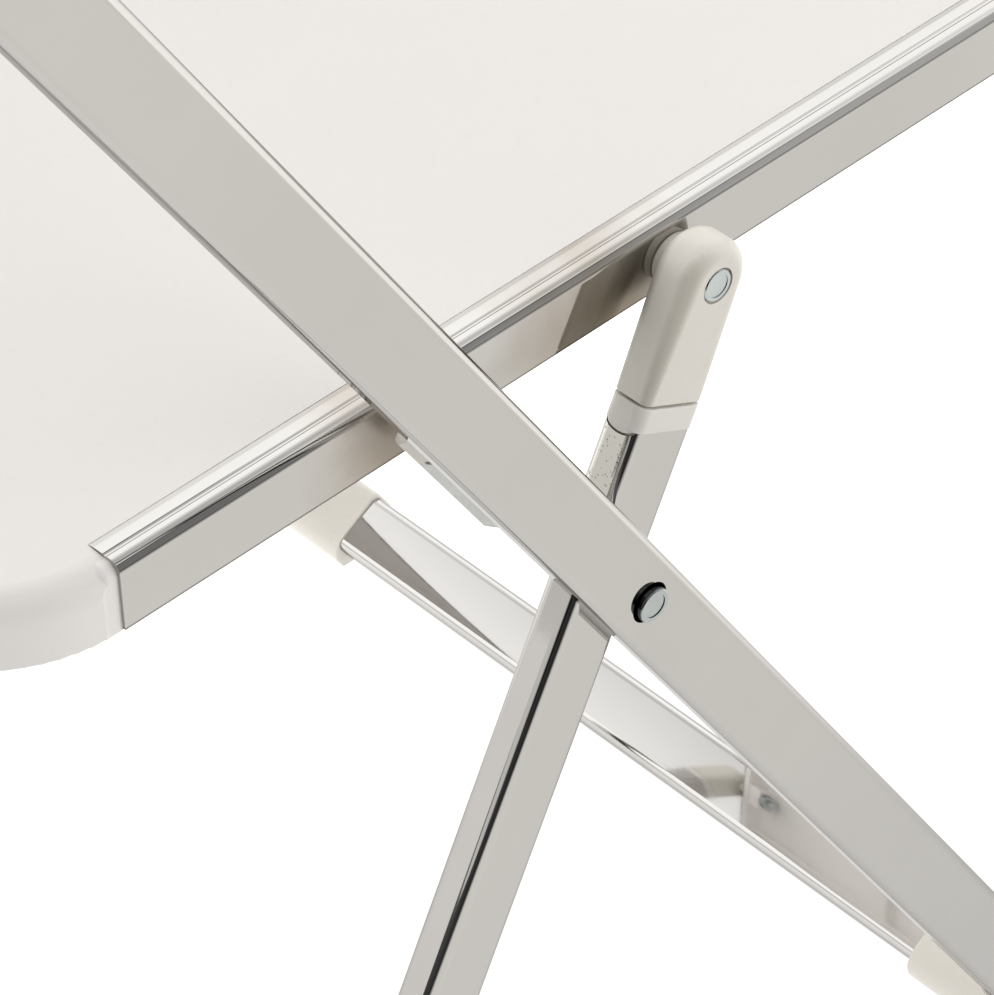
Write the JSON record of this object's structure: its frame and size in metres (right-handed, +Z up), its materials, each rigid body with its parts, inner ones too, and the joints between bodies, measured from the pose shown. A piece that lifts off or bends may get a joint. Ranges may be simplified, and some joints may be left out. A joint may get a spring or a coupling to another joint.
{
  "type": "folding chair",
  "caption": "Folding chair with crossed flat chrome tube frames, white moulded seat in chrome side rails, cream plastic knuckles and elbows, and a slide that folds the seat up against the back.",
  "frame": {"origin": "centre of the bounding box's base, on the floor", "axes": "+X forward to where a sitter's knees are, +Y to the sitter's left, +Z up"},
  "size_m": [0.5386, 0.4302, 0.7904],
  "materials": {
    "chrome_tube": "bright chrome plate on rolled steel tube",
    "chrome_rail": "bright chrome plate on bent steel sheet",
    "white_shell": "satin white moulded plastic",
    "cream_plastic": "satin cream moulded plastic",
    "zinc_pin": "bluish zinc plate",
    "grey_slide": "tumbled die casting"
  },
  "bodies": {
    "back_frame": {"back_panel": "white_shell", "back_screws": "zinc_pin", "crossing_pin_left": "zinc_pin", "crossing_pin_right": "zinc_pin", "crossing_washers": "cream_plastic", "front_elbow_left": "cream_plastic", "front_elbow_right": "cream_plastic", "front_floor_bar": "chrome_tube", "upright_cap_left": "cream_plastic", "upright_cap_right": "cream_plastic", "upright_left": "chrome_tube", "upright_right": "chrome_tube"},
    "rear_legs": {"knuckle_left": "cream_plastic", "knuckle_right": "cream_plastic", "leg_collar_left": "cream_plastic", "leg_collar_right": "cream_plastic", "rear_elbow_left": "cream_plastic", "rear_elbow_right": "cream_plastic", "rear_floor_bar": "chrome_tube", "rear_leg_left": "chrome_tube", "rear_leg_right": "chrome_tube"},
    "seat": {"knuckle_bosses": "cream_plastic", "knuckle_pin_left": "zinc_pin", "knuckle_pin_right": "zinc_pin", "pin_retainers": "zinc_pin", "seat_panel": "white_shell", "seat_rail_left": "chrome_rail", "seat_rail_right": "chrome_rail", "slide_bosses": "cream_plastic", "slide_pin_left": "zinc_pin", "slide_pin_right": "zinc_pin"},
    "slides": {"slide_block_left": "grey_slide", "slide_block_right": "grey_slide", "slide_pad_left": "cream_plastic", "slide_pad_right": "cream_plastic", "slide_shoe_left": "cream_plastic", "slide_shoe_right": "cream_plastic"}
  },
  "joints": [
    {"name": "fold", "type": "hinge", "parent": "back_frame", "child": "rear_legs", "pos_m": [0.02918, 0, 0.3518], "axis": [0, -1, 0], "range_deg": [0, 53]},
    {"name": "seat_pivot", "type": "hinge", "parent": "rear_legs", "child": "seat", "pos_m": [0.06614, 0, 0.43261], "axis": [0, -1, 0], "range_deg": [-106, 0]},
    {"name": "slide_pivot", "type": "hinge", "parent": "seat", "child": "slides", "pos_m": [-0.02266, 0, 0.42941], "axis": [0, -1, 0], "range_deg": [0, 53]}
  ],
  "couplings": [
    {"joint": "seat_pivot", "follows": "fold", "ratio": -2},
    {"joint": "slide_pivot", "follows": "fold", "ratio": 1}
  ]
}
